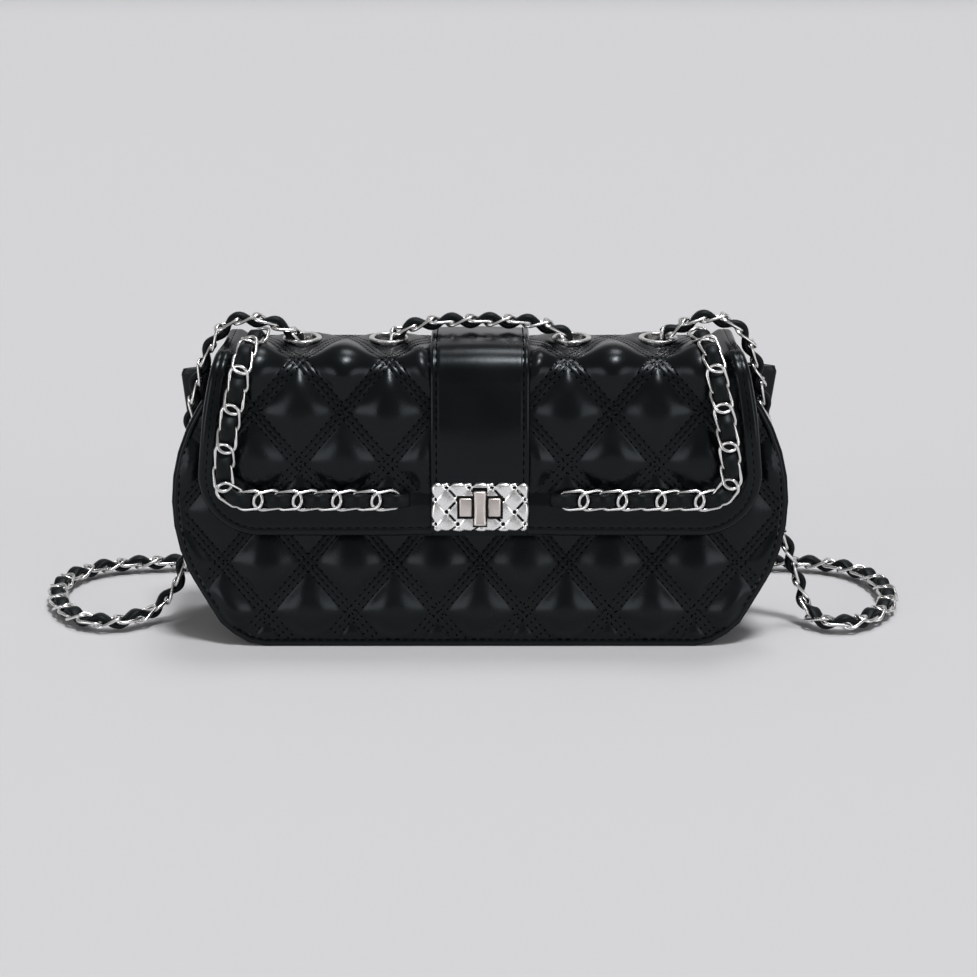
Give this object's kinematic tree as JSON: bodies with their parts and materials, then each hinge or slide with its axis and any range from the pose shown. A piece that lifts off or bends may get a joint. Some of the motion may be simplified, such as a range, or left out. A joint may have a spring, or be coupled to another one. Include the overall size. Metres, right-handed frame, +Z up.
{
  "type": "chain shoulder bag",
  "caption": "Quilted leather shoulder bag with a rolled front flap, a turn lock, chain trim, eyelets in the top and a leather-laced chain strap lying beside it.",
  "frame": {"origin": "middle of the flat base, on the surface that the bag stands on", "axes": "+X to the viewer's right along the bag, -Y out of the front with the flap and lock, +Z up"},
  "size_m": [0.3726, 0.1278, 0.1362],
  "materials": {
    "quilted_leather": "semi-gloss",
    "plain_leather": "semi-gloss",
    "lining_cloth": "matte",
    "base_stiffener": "matte",
    "polished_silver": "polished",
    "satin_nickel": "satin",
    "leather_lace": "semi-gloss",
    "chain_strap": "polished links"
  },
  "bodies": {
    "shell": {"front_panel": "quilted_leather", "back_panel": "quilted_leather", "top_panel": "quilted_leather", "base_panel": "plain_leather", "left_gusset": "plain_leather", "right_gusset": "plain_leather", "left_gusset_ear": "plain_leather", "right_gusset_ear": "plain_leather", "closure_strap_top": "plain_leather", "lining": "lining_cloth", "top_lining": "lining_cloth", "base_board": "base_stiffener", "eyelets": "polished_silver", "eyelet_washers": "satin_nickel", "lock_socket": "satin_nickel", "lock_backing": "satin_nickel", "lock_socket_rivets": "satin_nickel", "toggle_spring_washer": "satin_nickel", "strap_left_run": "chain_strap", "strap_left_loop": "chain_strap", "strap_back_run": "chain_strap", "strap_right_loop": "chain_strap", "strap_right_run": "chain_strap", "strap_top_run": "chain_strap", "strap_inside_left": "chain_strap", "strap_inside_right": "chain_strap"},
    "flap": {"flap_panel": "quilted_leather", "flap_lining": "lining_cloth", "closure_strap": "plain_leather", "flap_border_left": "plain_leather", "flap_border_right": "plain_leather", "lock_liner": "satin_nickel", "lock_plate": "polished_silver", "lock_plate_rivets": "satin_nickel", "trim_lace_left": "leather_lace", "trim_lace_right": "leather_lace", "trim_chain_left": "polished_silver", "trim_chain_right": "polished_silver"},
    "toggle": {"lock_toggle": "satin_nickel", "toggle_clip": "satin_nickel"}
  },
  "joints": [
    {"name": "flap_hinge", "type": "hinge", "parent": "shell", "child": "flap", "pos_m": [0, -0.03005, 0.11733], "axis": [-1, 0, 0], "range_deg": [0, 150]},
    {"name": "toggle_turn", "type": "hinge", "parent": "shell", "child": "toggle", "pos_m": [0, -0.02682, 0.05917], "axis": [0, -0.9962, 0.0872], "range_deg": [0, 90]}
  ]
}
